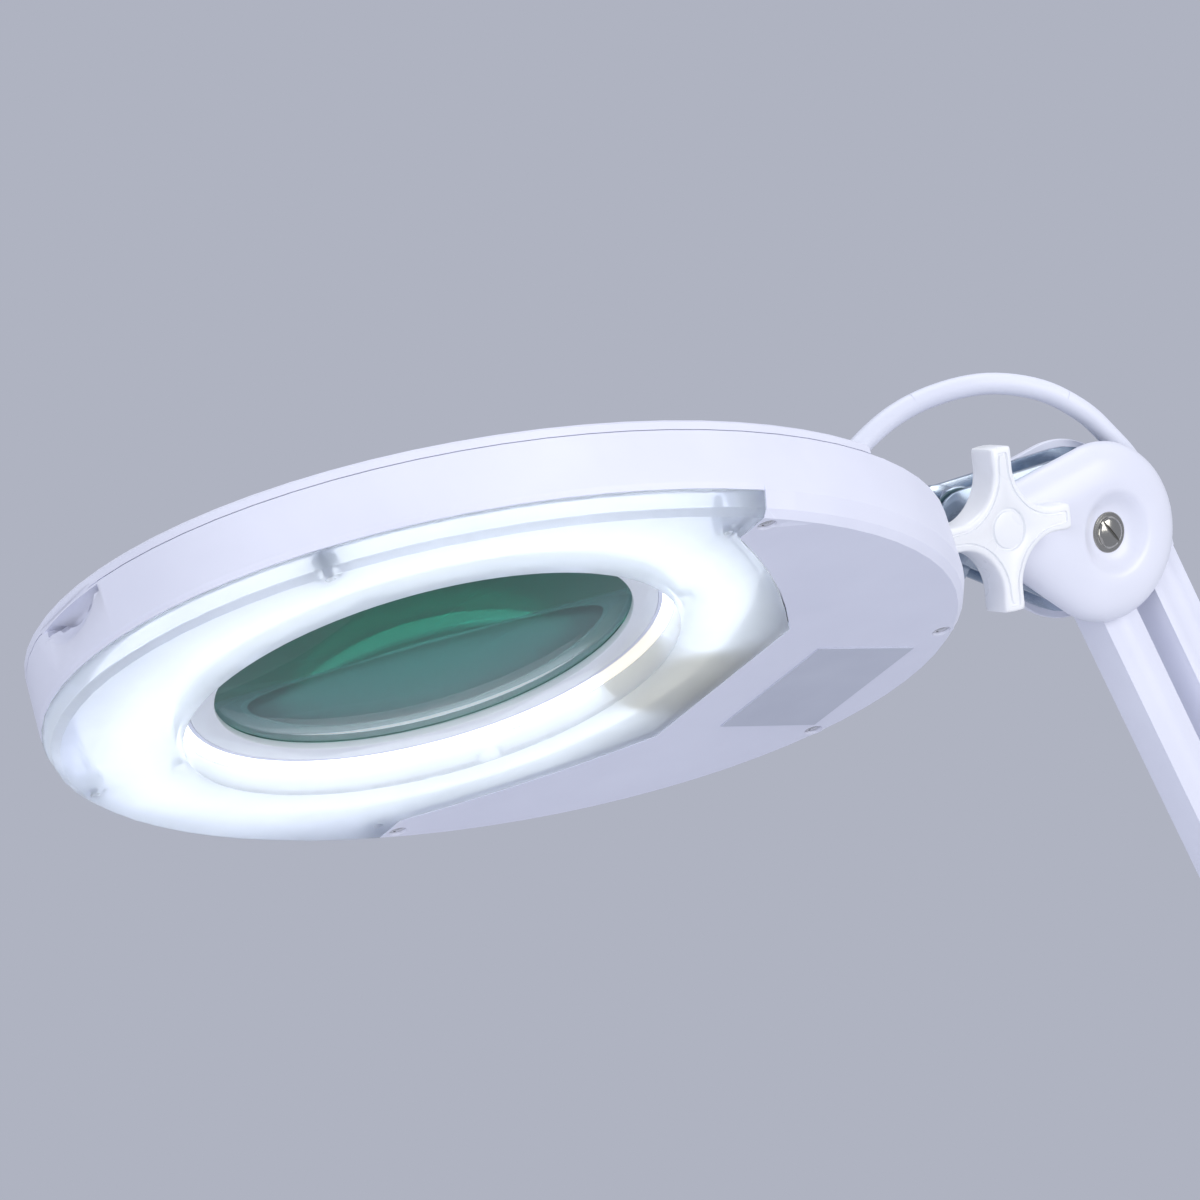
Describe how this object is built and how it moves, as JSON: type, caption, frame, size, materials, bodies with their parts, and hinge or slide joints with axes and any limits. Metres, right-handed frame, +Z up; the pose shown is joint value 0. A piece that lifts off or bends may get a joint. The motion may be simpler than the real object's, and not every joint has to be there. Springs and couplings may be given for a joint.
{
  "type": "magnifying lamp",
  "caption": "Ring-lit magnifying lamp head with a hinged lens lid on a parallel-link arm with a table clamp and mains lead.",
  "frame": {"origin": "centre of the swivel post on the face of the clamp that lies on the table", "axes": "+Z up along the swivel post; the arm folds in the XZ plane; the lens head points towards -X at rest"},
  "size_m": [0.6189, 0.2376, 0.9452],
  "materials": {
    "white_shell": "moulded, faint texture",
    "white_inner": "smooth",
    "cover_plastic": "smooth, satin",
    "lens_glass": "polished, green tint",
    "tube_glass": "lit ring tube",
    "cap_beige": "smooth",
    "clear_plastic": "clear moulded",
    "bright_steel": "nickel plated",
    "zinc_plate": "bright zinc plated",
    "tube_paint": "white powder coat",
    "label_foil": "blank foil",
    "dark_plastic": "moulded",
    "fibre": "pressed fibre",
    "pad_rubber": "moulded",
    "cord_pvc": "smooth",
    "spring_wire": "oiled wire"
  },
  "bodies": {
    "clamp": {"clamp_frame": "tube_paint", "swivel_bush": "cover_plastic", "strain_relief": "cord_pvc", "lead_cord": "cord_pvc", "cord_coil": "cord_pvc", "cord_tie": "dark_plastic", "mains_plug": "cord_pvc", "plug_pins": "bright_steel"},
    "pad": {"clamp_pad": "pad_rubber"},
    "screw": {"clamp_screw": "bright_steel", "clamp_handle": "bright_steel"},
    "post": {"swivel_post": "bright_steel", "base_plates": "zinc_plate", "base_cover_front": "cover_plastic", "base_cover_back": "cover_plastic", "base_screws": "bright_steel", "base_pins": "bright_steel"},
    "lower_bar_a": {"lower_tube_a": "tube_paint", "lower_spring": "spring_wire"},
    "lower_bar_b": {"lower_tube_b": "tube_paint"},
    "elbow": {"elbow_plates": "zinc_plate", "elbow_cover_front": "cover_plastic", "elbow_cover_back": "cover_plastic", "elbow_screws": "bright_steel", "elbow_pins": "bright_steel"},
    "upper_bar_b": {"upper_tube_b": "tube_paint", "cord_bush": "cord_pvc"},
    "upper_bar_a": {"upper_tube_a": "tube_paint", "upper_spring": "spring_wire"},
    "knuckle": {"knuckle_plates": "zinc_plate", "knuckle_cover_front": "cover_plastic", "knuckle_cover_back": "cover_plastic", "knuckle_screws": "bright_steel", "knuckle_pins": "bright_steel", "tilt_bolt": "bright_steel"},
    "knob": {"star_knob": "cover_plastic"},
    "clevis": {"head_clevis": "zinc_plate", "friction_washers": "fibre", "swivel_stem": "bright_steel"},
    "head": {"housing_shell": "white_shell", "top_cover": "white_shell", "lid_hinge_pins": "bright_steel", "lens_ring": "white_inner", "magnifier_lens": "lens_glass", "ring_tube": "tube_glass", "tube_end_cap": "cap_beige", "tube_holder": "white_inner", "tube_clips": "bright_steel", "diffuser": "clear_plastic", "diffuser_screws": "bright_steel", "housing_screws": "bright_steel", "ballast": "dark_plastic", "terminal_block": "white_inner", "rating_plate": "label_foil", "head_gland": "white_inner", "stem_nut": "bright_steel", "stem_washer": "bright_steel", "cord_arch": "cord_pvc"},
    "rocker": {"switch_rocker": "white_inner"},
    "lid": {"lens_lid": "white_shell"}
  },
  "joints": [
    {"name": "clamp_travel", "type": "slide", "parent": "clamp", "child": "pad", "axis": [0, 0, 1], "range_m": [-0.008, 0.016]},
    {"name": "clamp_spin", "type": "hinge", "parent": "pad", "child": "screw", "pos_m": [-0.031, 0, -0.1], "axis": [0, 0, 1], "range_deg": [-960, 1920]},
    {"name": "post_swivel", "type": "hinge", "parent": "clamp", "child": "post", "pos_m": [0, 0, 0.03], "axis": [0, 0, 1], "range_deg": [-170, 170]},
    {"name": "lower_arm", "type": "hinge", "parent": "post", "child": "lower_bar_a", "pos_m": [-0.01128, 0, 0.0901], "axis": [0, 1, 0], "range_deg": [-45, 45]},
    {"name": "lower_arm_link", "type": "hinge", "parent": "post", "child": "lower_bar_b", "pos_m": [0.01128, 0, 0.0819], "axis": [0, 1, 0], "range_deg": [-45, 45]},
    {"name": "elbow_level", "type": "hinge", "parent": "lower_bar_a", "child": "elbow", "pos_m": [0.11869, 0, 0.44719], "axis": [0, 1, 0], "range_deg": [-45, 45]},
    {"name": "upper_arm", "type": "hinge", "parent": "elbow", "child": "upper_bar_b", "pos_m": [0.14913, 0, 0.47906], "axis": [0, 1, 0], "range_deg": [-35, 40]},
    {"name": "upper_arm_link", "type": "hinge", "parent": "elbow", "child": "upper_bar_a", "pos_m": [0.12737, 0, 0.46892], "axis": [0, 1, 0], "range_deg": [-35, 40]},
    {"name": "knuckle_level", "type": "hinge", "parent": "upper_bar_b", "child": "knuckle", "pos_m": [-0.06611, 0, 0.79223], "axis": [0, 1, 0], "range_deg": [-40, 35]},
    {"name": "knob_turn", "type": "hinge", "parent": "knuckle", "child": "knob", "pos_m": [-0.13678, -0.024, 0.78306], "axis": [0, 1, 0], "range_deg": [0, 405]},
    {"name": "head_tilt", "type": "hinge", "parent": "knuckle", "child": "clevis", "pos_m": [-0.13678, 0, 0.78306], "axis": [0, 1, 0], "range_deg": [-40, 60], "deforming": ["cord_arch"]},
    {"name": "head_roll", "type": "hinge", "parent": "clevis", "child": "head", "pos_m": [-0.13678, 0, 0.75086], "axis": [1, 0, 0], "range_deg": [-3, 75]},
    {"name": "lid_open", "type": "hinge", "parent": "head", "child": "lid", "pos_m": [-0.23528, 0.01206, 0.77175], "axis": [0, 0.866, -0.5], "range_deg": [0, 95]},
    {"name": "switch_rock", "type": "hinge", "parent": "head", "child": "rocker", "pos_m": [-0.19678, 0.04137, 0.74251], "axis": [0, 0.866, -0.5], "range_deg": [0, 8]}
  ],
  "couplings": [
    {"joint": "clamp_spin", "follows": "clamp_travel", "rad_per_m": 2094.4},
    {"joint": "lower_arm_link", "follows": "lower_arm", "ratio": 1},
    {"joint": "elbow_level", "follows": "lower_arm", "ratio": -1},
    {"joint": "upper_arm_link", "follows": "upper_arm", "ratio": 1},
    {"joint": "knuckle_level", "follows": "upper_arm", "ratio": -1}
  ]
}
